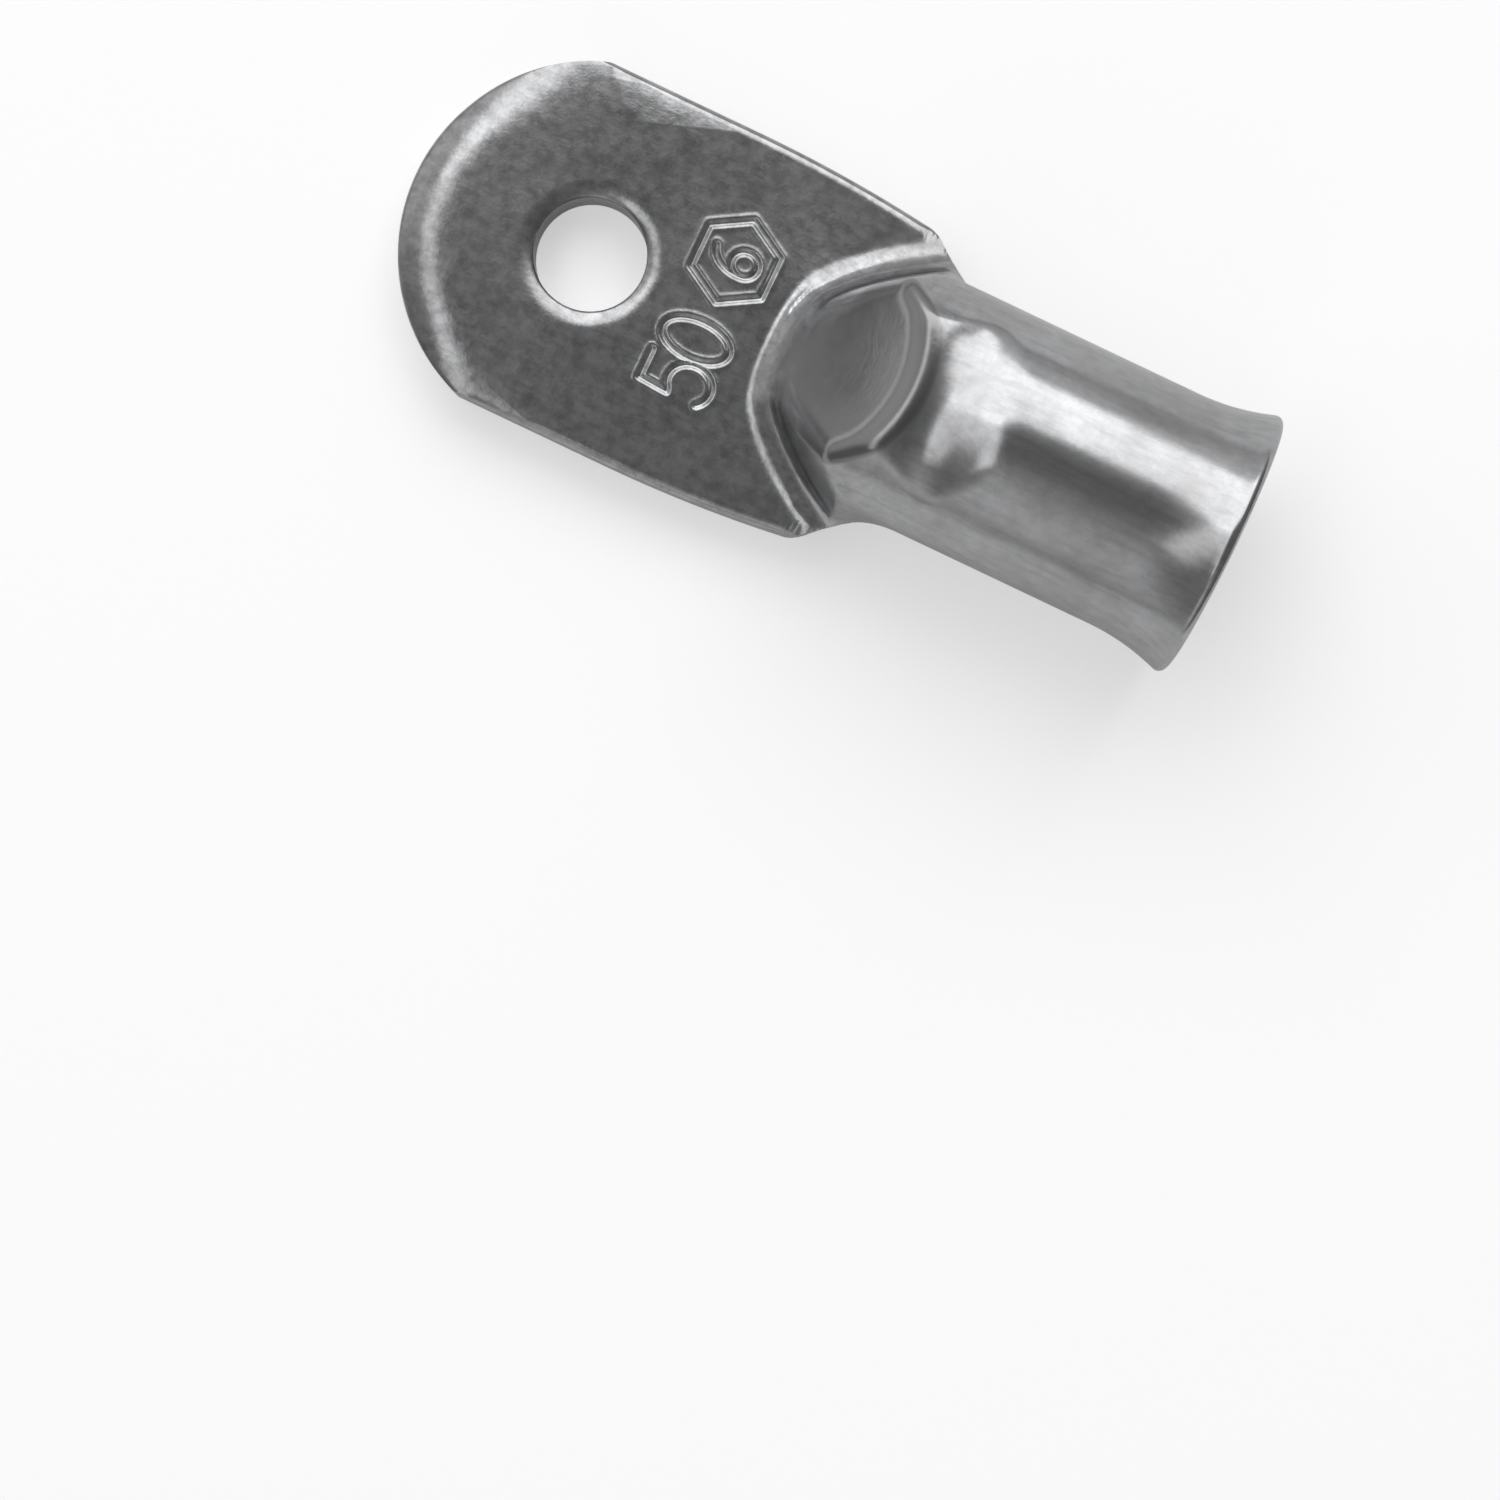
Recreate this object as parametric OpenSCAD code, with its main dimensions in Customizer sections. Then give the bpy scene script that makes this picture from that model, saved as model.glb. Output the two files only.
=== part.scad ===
// Tubular cable lug: one length of thick copper tube, tinned all over. One end
// is pressed flat into a palm with a hole for the stud. The other end stays
// round to take the stripped cable and opens out into a bell mouth. Between the
// two the tube rises from the palm in a ramp with a curved foot, and a shallow
// dip behind the ramp's ridge leads up to the round barrel.
// The origin is the centre of the stud hole on the underside of the palm.
// +X runs along the tube to its mouth and +Z runs up the stud hole.

/* [Tube] */
// Outside diameter of the round barrel
barrel_d = 14.8; // [13.8:0.1:15.6]
// Bore that takes the cable
bore_d = 11; // [10.4:0.1:12]
// Stud hole to the end of the mouth
mouth_x = 41.1; // [38:0.1:60]

/* [Bell mouth] */
// Outside diameter at the end of the mouth
flare_d = 16.4; // [15.8:0.1:17.2]
// Curve of the bell along the tube
flare_curve_r = 14; // [9:0.5:16]
// Rounding of the outer lip
lip_r = 0.45; // [0.2:0.05:0.8]

/* [Palm] */
// Width across the folded edges
palm_w = 21.8; // [20.8:0.1:23]
// Radius of the round nose, about the stud hole
nose_r = 11.5; // [11.2:0.1:13]
// Rounding of the folded long edges below
fold_r = 1.1; // [0.6:0.1:1.4]
// Rounding of the same edges on top, where the press squares them
crease_r = 0.5; // [0.3:0.1:1]
// How far in the sheared nose edge starts to droop
droop_w = 3.8; // [2.4:0.1:4.4]
// How deep the nose edge droops
droop_h = 0.75; // [0.3:0.05:1]
// Width that each side loses between the hole and the neck
palm_taper = 0.85; // [0:0.05:1.2]
// Where that taper starts
taper_x = 6; // [5:0.5:8]
// Width of the line where the tube's two walls meet on the nose
seam_w = 0.24; // [0.1:0.02:0.4]

/* [Stud hole] */
// Diameter of the stud hole
hole_d = 6.8; // [5:0.1:9]
// Width of the roll around its upper rim
rim_w = 0.9; // [0.5:0.1:1.5]
// Depth of that roll at the hole
rim_h = 0.35; // [0.2:0.05:0.45]

/* [Neck] */
// Stud hole to the corners where the sides turn in
neck_x = 18.2; // [17:0.1:22]
// Slope of the sides at the neck, from the tube's axis
neck_angle = 45; // [40:1:56]
// Rounding of the outer neck corner
neck_corner = 0.6; // [0.4:0.1:1.4]
// Length of the hollow curve into the barrel
neck_blend = 2.6; // [1:0.1:3]

/* [Ramp] */
// Distance that the curved foot reaches ahead of the neck
foot_reach = 5.7; // [5:0.1:7]
// Slope of the ramp above the palm
ramp_angle = 54; // [48:1:58]
// How much the ramp's face bows out, per millimetre off the middle, squared
ramp_bow = 0.06; // [0:0.01:0.09]
// Lean of the ramp's flanks from upright
flank_lean = 8; // [4:1:14]
// Hollow rounding along the foot
foot_r = 1.8; // [1:0.1:2.6]
// Rounding of the edges beside the ramp
flank_r = 0.35; // [0.1:0.05:0.8]

/* [Ridge and dip] */
// Rounding of the ridge along the top of the ramp
ridge_r = 0.8; // [0.5:0.1:1.6]
// Depth of the dip behind the ridge, below the top of the barrel
dip_drop = 1.1; // [0.6:0.1:1.4]
// How far the ridge stands above the dip
dip_lift = 0.25; // [0:0.05:0.4]
// Ridge to the bottom of the dip
dip_length = 1.5; // [1:0.1:2.5]
// Bottom of the dip to the full barrel
dip_rise = 5.6; // [4:0.1:7]
// Curve of the ridge and the dip across the lug
dip_curve_r = 24; // [12:1:48]
// Softness of the dip's edges
dip_blend = 0.3; // [0.2:0.1:0.6]

/* [Smoothness] */
// Points around half of each section
section_steps = 48; // [36:2:56]
// Distance between sections
section_gap = 0.6; // [0.5:0.1:1]

/* [Hidden] */
$fn = 96;

barrel_r = barrel_d / 2;
bore_r = bore_d / 2;
wall = barrel_r - bore_r;
palm_t = 2 * wall;
palm_half = palm_w / 2;
hole_r = hole_d / 2;

// The bell mouth and the palm lie on one plane, so the axis is half the bell up
axis_z = flare_d / 2;
barrel_top = axis_z + barrel_r;
flare_r = flare_d / 2;
flare_rise = flare_r - barrel_r;
lip_x = mouth_x - lip_r;
flare_x = lip_x - sqrt(flare_rise * (2 * (flare_curve_r + lip_r) - flare_rise));
bell_mid = barrel_r + flare_curve_r;

// Plan of the neck and of the ramp's foot
neck_half = palm_half - palm_taper;
foot_x = neck_x - foot_reach;
foot_curve = foot_reach / (barrel_r * barrel_r);
neck_end_x = neck_x + (neck_half - barrel_r + neck_blend) / tan(neck_angle);

// Middle line of the ridge and of the dip
dip_z = barrel_top - dip_drop;
ridge_x = foot_x + (dip_z + dip_lift - palm_t) / tan(ramp_angle);
dip_x = ridge_x + dip_length;
past_neck = 0.2;
barrel_x = max(dip_x + dip_rise, neck_end_x) + past_neck;

// Where the sections start to turn round, and where the palm's crease fades out
round_from = neck_x - 1;
fade_x = neck_x - 1.2;
crease_fade = 2;

// The sections start on the straight part of the palm, and are closest where
// the foot of the ramp crosses them
section_x = taper_x;
near_foot = foot_x - foot_r;
past_foot = foot_x + 2 * foot_r;
palm_gap = 2.5 * section_gap;
foot_gap = section_gap / 2;
ridge_gap = 0.7 * section_gap;
barrel_gap = 1.3 * section_gap;
past_ridge = dip_x + section_gap;

// The hollow starts where the two walls part, and joins the bore
part_gap = 0.03;
skin = wall + part_gap;
part_h = 0.9 * wall;
hollow_lap = 0.4;
hollow_x = foot_x + (skin - part_h * cos(ramp_angle)) / sin(ramp_angle) + hollow_lap;
hollow_end_x = barrel_x + hollow_lap;
hollow_steps = 24;
hollow_gap = 1.2 * section_gap;

// Part of the droop that is still too flat to see, and the steps of the rest
droop_from = 0.15;
droop_steps = 8;

// How far the line across the nose stops short of the folded edges
seam_end = 1.6 * wall;

// Halvings of a ray, the longest ray, and how far in the top corner is aimed at
ray_steps = 20;
ray_reach = 2 * palm_w;
top_share = 0.85;

// How far one body sits inside another, runs into it and is cut past its end
seat = 0.01;
lap = 0.2;
over = 1;
reach = 12;

function mix(a, b, t) = a + (b - a) * t;
function clamp(v, low, high) = min(max(v, low), high);
function ease(t) = let (u = clamp(t, 0, 1)) u * u * (3 - 2 * u);
function snap(v) = round(v * 1000) / 1000;

// Smaller or larger of two values, with a rounded change between them
function soft_min(a, b, k) = min(a, b) - pow(max(k - abs(a - b), 0), 2) / (4 * k);
function soft_max(a, b, k) = max(a, b) + pow(max(k - abs(a - b), 0), 2) / (4 * k);

// Union and intersection of two distances, with a fillet of radius r
function join(a, b, r) = max(r, min(a, b)) - norm([max(r - a, 0), max(r - b, 0)]);
function meet(a, b, r) = min(-r, max(a, b)) + norm([max(r + a, 0), max(r + b, 0)]);

// Half width of the lug in plan at x
function taper_at(x) = palm_taper * pow(max(x - taper_x, 0) / (neck_x - taper_x), 2);
function side_at(x) = x <= neck_x ? palm_half - taper_at(x) : neck_half;
function turn_at(x) = neck_half - (x - neck_x) * tan(neck_angle);
function half_at(x) =
    soft_max(barrel_r, soft_min(side_at(x), turn_at(x), neck_corner), neck_blend);

// How far the section at x has changed from flat, 0, to round, 1
function round_at(x) = clamp((neck_half - half_at(x)) / (neck_half - barrel_r), 0, 1);

// Distance from the trough that forms the underside and the sides
function trough(x, y, z) =
    let (
        s = x < round_from ? 0 : round_at(x),
        r = mix(fold_r, barrel_r, s),
        base = mix(0, axis_z - barrel_r, s),
        a = abs(y) - half_at(x) + r,
        b = base + r - z
    )
    norm([max(a, 0), max(b, 0)]) + min(max(a, b), 0) - r;

// Distance from the flanks that lean from the palm's edge in to the round top
function flank(x, y, z) =
    let (
        edge = half_at(x),
        drop = axis_z - palm_t,
        far = norm([edge, drop]),
        lean = acos(clamp(barrel_r / far, -1, 1)) - atan2(drop, edge),
        up = z - axis_z,
        out = abs(y)
    )
    up * cos(lean) > out * sin(lean)
        ? norm([out, up]) - barrel_r
        : out * cos(lean) + up * sin(lean) - barrel_r;

// Distance from the wall that stands on the curved foot
function foot_wall(x, y, z) =
    (foot_curve * y * y - (x - foot_x)) * cos(flank_lean)
        / norm([1, 2 * foot_curve * y]) + (z - palm_t) * sin(flank_lean);

// How far the ramp and its ridge bow back towards the palm at y
function bow(y) = ramp_bow * y * y;

// Distance from the sloping face of the ramp
function ramp(x, y, z) =
    (z - palm_t) * cos(ramp_angle) - (x + bow(y) - foot_x) * sin(ramp_angle);

// Distance from the top of the ridge and the dip, which falls from the bowed ridge
// and then rises clear of the barrel
function crown(x, y, z) =
    z - dip_z + y * y / (2 * dip_curve_r)
        - dip_lift * ease((dip_x - x) / (dip_length + bow(y)))
        - (dip_drop + dip_blend) * ease((x - dip_x) / dip_rise);

// Distance from the outside of the palm and the transition
function outside(x, y, z) =
    let (
        top = soft_max(flank(x, y, z), crown(x, y, z), dip_blend),
        dome = meet(soft_max(top, foot_wall(x, y, z), flank_r), ramp(x, y, z), ridge_r),
        upper = join(z - palm_t, dome, foot_r),
        edge = crease_r * (1 - ease((x - fade_x) / crease_fade)) + 2 * seat
    )
    meet(trough(x, y, z), upper, edge);

// Where a ray from the middle m in direction d reaches the depth given
function strike(x, m, d, depth, low, high, steps) =
    let (t = (low + high) / 2)
    steps == 0 ? [snap(d[0] * t), snap(m + d[1] * t)]
    : outside(x, d[0] * t, m + d[1] * t) > -depth
        ? strike(x, m, d, depth, low, t, steps - 1)
        : strike(x, m, d, depth, t, high, steps - 1);

// Shares of a half section, from the middle of its base to its top, at which it
// passes both rounded corners of the fold, the foot of the ramp and its edge
shares = [0, 0.2, 0.27, 0.31, 0.4, 0.5, 0.66, 1];

// Angles about the axis at which the round section passes the same shares
turns = [0, 58, 74, 86, 98, 108, 126, 180];

// Which share is the corner of the ramp, the ridge or the dip, and the turns
// between which it is searched for
lid_share = 6;
lid_from = 90;
lid_to = 160;
lid_steps = 9;

// Where the section at x comes on to its lid, which is the ramp, the ridge or the
// dip: the place is searched for between two turns about the middle m
function lid_corner(x, m, low, high, steps) =
    let (
        turn = (low + high) / 2,
        q = strike(x, m, [sin(turn), -cos(turn)], 0, 0, ray_reach, ray_steps),
        lid = max(ramp(x, q[0], q[1]), crown(x, q[0], q[1])),
        side = max(flank(x, q[0], q[1]), foot_wall(x, q[0], q[1]))
    )
    steps == 0 ? q
    : lid > side ? lid_corner(x, m, low, turn, steps - 1)
    : lid_corner(x, m, turn, high, steps - 1);

// Rough section at x, given by its corners, which the rays aim at
function rough_corners(x, m) =
    let (
        side = half_at(x),
        foot = clamp(sqrt(max(x - foot_x, 0) / foot_curve), wall, side - 4 * seat),
        fold = max(side - crease_r, foot + 2 * seat),
        high = clamp(palm_t + (x - foot_x) * tan(ramp_angle), palm_t, barrel_top)
    )
    [
        [0, 0], [side - fold_r, 0], [side, fold_r], [side, palm_t - crease_r],
        [fold, palm_t], [foot, palm_t],
        x < foot_x ? [foot * top_share, palm_t] : lid_corner(x, m, lid_from, lid_to, lid_steps),
        [0, high]
    ];

// Value at the share p, from a list of values at the shares above
function at_share(p, values) =
    lookup(p, [for (i = [0 : len(shares) - 1]) [shares[i], values[i]]]);

// One half of the outer section at x, from its base to its top
function outer_half(x) =
    let (
        m = mix(palm_t / 2, axis_z, ease((x - foot_x) / (barrel_x - foot_x))),
        s = ease((x - round_from) / (barrel_x - round_from)),
        rough = rough_corners(x, m),
        corners = [for (i = [0 : len(turns) - 1])
            let (on_round = [barrel_r * sin(turns[i]), axis_z - barrel_r * cos(turns[i])])
            i == lid_share ? rough[i] : mix(rough[i], on_round, s)],
        ys = [for (q = corners) q[0]],
        zs = [for (q = corners) q[1]]
    )
    [for (i = [0 : section_steps])
        let (
            p = i / section_steps,
            aim = [at_share(p, ys), at_share(p, zs) - m]
        )
        strike(x, m, aim / norm(aim), 0, 0, ray_reach, ray_steps)];

// One half of the hollow's section at x
function hollow_half(x) =
    let (
        low = skin + mix(0, axis_z - barrel_r, round_at(x)),
        high = palm_t - (skin - (x - foot_x) * sin(ramp_angle)) / cos(ramp_angle),
        top = min(high, dip_z - skin),
        m = (low + top) / 2,
        side = min(sqrt((x - foot_x) / foot_curve), barrel_r) - wall
    )
    [for (i = [0 : hollow_steps])
        let (
            p = i / hollow_steps,
            aim = [side * sin(180 * p), -(top - low) / 2 * cos(180 * p)],
            d = aim / norm(aim)
        )
        strike(x, m, d, skin, 0, ray_reach, ray_steps)];

// A whole section as points in space, from half of it and its mirror image
function whole(x, half) =
    let (last = len(half) - 1)
    concat(
        [for (q = half) [x, q[0], q[1]]],
        [for (i = [last - 1 : -1 : 1]) [x, -half[i][0], half[i][1]]]);

// The point halfway up a section's middle line
function middle(section) = (section[0] + section[len(section) / 2]) / 2;

// A closed skin through a row of sections, with both ends filled in
module loft(sections) {
    n = len(sections[0]);
    rows = len(sections);
    first = rows * n;
    far = (rows - 1) * n;
    points = concat(
        [for (s = sections) for (q = s) q],
        [middle(sections[0]), middle(sections[rows - 1])]);
    sides = [
        for (i = [0 : rows - 2], j = [0 : n - 1])
            let (k = (j + 1) % n, a = i * n, b = a + n)
            each [[a + j, b + j, b + k], [a + j, b + k, a + k]]
    ];
    ends = [
        for (j = [0 : n - 1])
            let (k = (j + 1) % n)
            each [[first, j, k], [first + 1, far + k, far + j]]
    ];
    polyhedron(points = points, faces = concat(sides, ends));
}

// Stations from one x up to another, evenly spread, without the last
function stations(from, to, gap) =
    let (count = ceil((to - from) / gap))
    [for (i = [0 : count - 1]) mix(from, to, i / count)];

// A section drawn in towards the tube's axis by the seat
function drawn_in(section) =
    [for (q = section)
        let (r = norm([q[1], q[2] - axis_z]), k = (r - seat) / r)
        [q[0], q[1] * k, axis_z + (q[2] - axis_z) * k]];

// The tube as it changes from flat to round
module transition() {
    xs = concat(
        stations(section_x, near_foot, palm_gap),
        stations(near_foot, past_foot, foot_gap),
        stations(past_foot, past_ridge, ridge_gap),
        stations(past_ridge, barrel_x, barrel_gap));
    loft(concat(
        [for (x = xs) whole(x, outer_half(x))],
        [for (x = [barrel_x, barrel_x + lap]) drawn_in(whole(x, outer_half(barrel_x)))]));
}

// The hollow inside it, from the closed end to the bore
module hollow() {
    xs = concat(stations(hollow_x, hollow_end_x, hollow_gap), [hollow_end_x]);
    loft([for (x = xs) whole(x, hollow_half(x))]);
}

// The flat palm, as wide at the nose as at the hole
module palm_blank() {
    translate([section_x, 0, 0])
        rotate([90, 0, -90])
            linear_extrude(section_x + nose_r + over)
                polygon([for (q = whole(section_x, outer_half(section_x))) [-q[1], q[2]]]);
}

// Section of what the shears and the droop take from the nose, r from the hole:
// the edge droops ever more steeply on its way out
module nose_waste() {
    translate([nose_r, -over])
        square([reach, palm_t + 2 * over]);
    polygon(concat(
        [for (i = [0 : droop_steps])
            let (t = mix(droop_from, 1, i / droop_steps), depth = pow(t, 3) - pow(droop_from, 3))
            [nose_r - droop_w * (1 - t), palm_t - droop_h * depth]],
        [
            [nose_r + seat, palm_t - droop_h],
            [nose_r + seat, palm_t + over],
            [nose_r - droop_w * (1 - droop_from), palm_t + over]
        ]));
}

// The nose is an arc about the hole that runs on along its tangents
module nose_cut() {
    corner = acos(-sqrt(nose_r * nose_r - palm_half * palm_half) / nose_r);
    rotate([0, 0, corner])
        rotate_extrude(angle = 360 - 2 * corner)
            nose_waste();
    for (side = [1, -1])
        rotate([0, 0, side * corner])
            rotate([90, 0, 0])
                translate([0, 0, side > 0 ? -over : -2 * nose_r])
                    linear_extrude(2 * nose_r + over)
                        nose_waste();
}

// The thin line across the nose where the tube's walls meet
module seam_cut() {
    reach_angle = asin((palm_half - seam_end) / nose_r);
    rotate([0, 0, 180 - reach_angle])
        rotate_extrude(angle = 2 * reach_angle)
            polygon([
                [nose_r - seam_w, palm_t / 2],
                [nose_r + seam_w, palm_t / 2 - seam_w],
                [nose_r + seam_w, palm_t / 2 + seam_w]
            ]);
}

// The punched hole with its rolled upper rim
module stud_hole_cut() {
    roll_r = (rim_w * rim_w + rim_h * rim_h) / (2 * rim_h);
    translate([0, 0, -over])
        cylinder(h = palm_t + 2 * over, r = hole_r);
    rotate_extrude()
        difference() {
            translate([hole_r - seat, palm_t - rim_h])
                square([rim_w + seat, rim_h + over]);
            translate([hole_r + rim_w, palm_t - roll_r])
                circle(roll_r);
        }
}

// Turns a section drawn as radius and distance into a solid along the tube
module along_tube() {
    translate([0, 0, axis_z])
        rotate([0, 90, 0])
            rotate_extrude()
                children();
}

// Outer section of the barrel: as wide as the bell, less what lies outside the
// barrel and the curve, and with a rounded lip
module barrel_section() {
    lip_mid = [flare_r - lip_r, lip_x];
    touch = mix([bell_mid, flare_x], lip_mid, flare_curve_r / (flare_curve_r + lip_r));
    difference() {
        translate([0, barrel_x])
            square([flare_r, mouth_x - barrel_x]);
        translate([barrel_r, barrel_x - over])
            square([flare_rise + over, flare_x - barrel_x + over]);
        translate([bell_mid, flare_x])
            circle(flare_curve_r);
        difference() {
            polygon([
                touch,
                [flare_r + over, touch[1]],
                [flare_r + over, mouth_x + over],
                [lip_mid[0], mouth_x + over],
                lip_mid
            ]);
            translate(lip_mid)
                circle(lip_r);
        }
    }
}

// Section of the bore, which opens with the bell at the same wall
module bore_section() {
    translate([0, barrel_x])
        square([bore_r, mouth_x + over - barrel_x]);
    difference() {
        translate([0, flare_x])
            square([flare_r, mouth_x + over - flare_x]);
        translate([bell_mid, flare_x])
            circle(flare_curve_r + wall);
    }
}

module cable_lug() {
    color([0.62, 0.63, 0.65])
        difference() {
            union() {
                difference() {
                    palm_blank();
                    nose_cut();
                    seam_cut();
                    stud_hole_cut();
                }
                transition();
                along_tube()
                    barrel_section();
            }
            along_tube()
                bore_section();
            hollow();
        }
}

cable_lug();
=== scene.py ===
import math

import bmesh
import bpy
import numpy as np
from mathutils import Matrix, Vector


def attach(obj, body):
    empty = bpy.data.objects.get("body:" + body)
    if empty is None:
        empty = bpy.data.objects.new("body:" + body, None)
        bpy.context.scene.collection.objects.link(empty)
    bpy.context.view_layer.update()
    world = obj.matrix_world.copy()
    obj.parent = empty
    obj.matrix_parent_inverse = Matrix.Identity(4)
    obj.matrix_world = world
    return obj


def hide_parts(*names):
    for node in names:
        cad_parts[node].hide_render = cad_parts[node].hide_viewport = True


# Tinned cable lug: one pressed tube with a round barrel, a ramp and a flat palm
# Row frame: origin in the stud hole on the palm's underside, +X to the mouth, +Z up
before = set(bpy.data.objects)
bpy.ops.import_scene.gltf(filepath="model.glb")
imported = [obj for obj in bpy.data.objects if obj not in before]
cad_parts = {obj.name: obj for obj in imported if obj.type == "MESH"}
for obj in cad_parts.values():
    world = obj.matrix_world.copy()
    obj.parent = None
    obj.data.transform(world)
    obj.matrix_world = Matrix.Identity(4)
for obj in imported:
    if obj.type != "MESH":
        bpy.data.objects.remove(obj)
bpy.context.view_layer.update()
scene = bpy.context.scene
mm = 0.001
print("stage: frame loaded")


# The lug's own sizes in millimetres: the solid's, but for finer roundings and the nose's droop
lug = {
    "barrelR": 7.4,
    "boreR": 5.5,
    "mouthX": 41.1,
    "flareR": 8.2,
    "flareCurve": 14.0,
    "lipR": 0.45,
    "mouthIn": 0.1,
    "mouthBreak": [(0, 0.26), (0.03, 0.12)],   # its inner edge: in from the mouth, out from the bore
    "palmHalf": 10.9,
    "palmT": 3.8,
    "noseR": 11.5,
    "foldR": 1.1,
    "creaseR": 0.5,
    "creaseStart": 1.2,  # how far before the neck that rounding starts to fade, and over what length
    "creaseSpan": 2.0,
    "creaseLeast": 0.02,
    "droopW": 3.8,
    "droopH": 0.75,
    "droopEnds": 0.12,   # share of that droop at the nose's corners
    "droopMiddle": 190,  # where it is deepest, in degrees about the stud hole
    "droopFull": 30,     # degrees to either side that keep it whole
    "droopFade": 46,     # degrees over which it falls to its share at the corners
    "droopPast": 83,     # degrees to the corners, past which it dies out
    "droopGone": 26,
    "palmTaper": 0.85,
    "taperX": 6.0,
    "seamW": 0.24,
    "holeR": 3.4,
    "rimW": 1.1,
    "rimH": 0.22,
    "neckX": 18.2,
    "neckAngle": 45.0,
    "neckCorner": 0.6,
    "neckBlend": 2.6,
    "footReach": 5.7,
    "footR": 1.8,
    "rampAngle": 54.0,
    "rampBow": 0.06,
    "flankLean": 8.0,
    "flankR": 0.35,
    "ridgeR": 1.1,
    "dipDrop": 1.1,
    "dipLift": 0.25,
    "dipLength": 1.5,
    "dipRise": 6.1,
    "dipCurve": 24.0,
    "riseCurve": 9.0,
    "riseStart": 0.8,    # how far before the dip the section starts to round up to that
    "riseSpan": 3.4,
    "dipBlend": 0.2,
    "edgeR": 0.12,       # broken edges where the metal was sheared or punched
    "columns": 108,      # points around half of the tube
}

wall = lug["barrelR"] - lug["boreR"]
skin = wall + 0.03       # the metal over the pressed hollow
axisZ = lug["flareR"]
barrelTop = axisZ + lug["barrelR"]
neckHalf = lug["palmHalf"] - lug["palmTaper"]
footX = lug["neckX"] - lug["footReach"]
footCurve = lug["footReach"] / lug["barrelR"] ** 2
rampSlope = math.radians(lug["rampAngle"])
dipZ = barrelTop - lug["dipDrop"]
ridgeX = footX + (dipZ + lug["dipLift"] - lug["palmT"]) / math.tan(rampSlope)
dipX = ridgeX + lug["dipLength"]
rampEndX = dipX + lug["dipRise"]
neckSlope = math.tan(math.radians(lug["neckAngle"]))
neckEndX = lug["neckX"] + (neckHalf - lug["barrelR"] + lug["neckBlend"]) / neckSlope
barrelX = max(rampEndX, neckEndX) + 0.2
lipX = lug["mouthX"] - lug["lipR"]
flareRise = lug["flareR"] - lug["barrelR"]
flareX = lipX - math.sqrt(flareRise * (2 * (lug["flareCurve"] + lug["lipR"]) - flareRise))
bellMid = lug["barrelR"] + lug["flareCurve"]


def softMin(a, b, k):
    return np.minimum(a, b) - np.maximum(k - np.abs(a - b), 0) ** 2 / (4 * k)


def softMax(a, b, k):
    return np.maximum(a, b) + np.maximum(k - np.abs(a - b), 0) ** 2 / (4 * k)


def filletJoin(a, b, r):
    return np.maximum(r, np.minimum(a, b)) - np.hypot(np.maximum(r - a, 0), np.maximum(r - b, 0))


def filletMeet(a, b, r):
    return np.minimum(-r, np.maximum(a, b)) + np.hypot(np.maximum(r + a, 0), np.maximum(r + b, 0))


def ease(t):
    t = np.clip(t, 0, 1)
    return t * t * (3 - 2 * t)


# A step from 0 to 1 that is straight but for its two soft ends
def straightStep(t, soft=0.22):
    t = np.clip(t, 0, 1)
    up = t - soft / 2 + np.maximum(soft - t, 0) ** 2 / (2 * soft)
    return (up - np.maximum(t - 1 + soft, 0) ** 2 / (2 * soft)) / (1 - soft)


# Half width of the lug in plan
def halfAt(x):
    along = np.maximum(x - lug["taperX"], 0) / (lug["neckX"] - lug["taperX"])
    taper = lug["palmTaper"] * along ** 2
    side = np.where(x <= lug["neckX"], lug["palmHalf"] - taper, neckHalf)
    turn = neckHalf - (x - lug["neckX"]) * neckSlope
    return softMax(lug["barrelR"], softMin(side, turn, lug["neckCorner"]), lug["neckBlend"])


# How far the section has changed from flat, 0, to round, 1
def roundAt(x):
    return np.clip((neckHalf - halfAt(x)) / (neckHalf - lug["barrelR"]), 0, 1)


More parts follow.
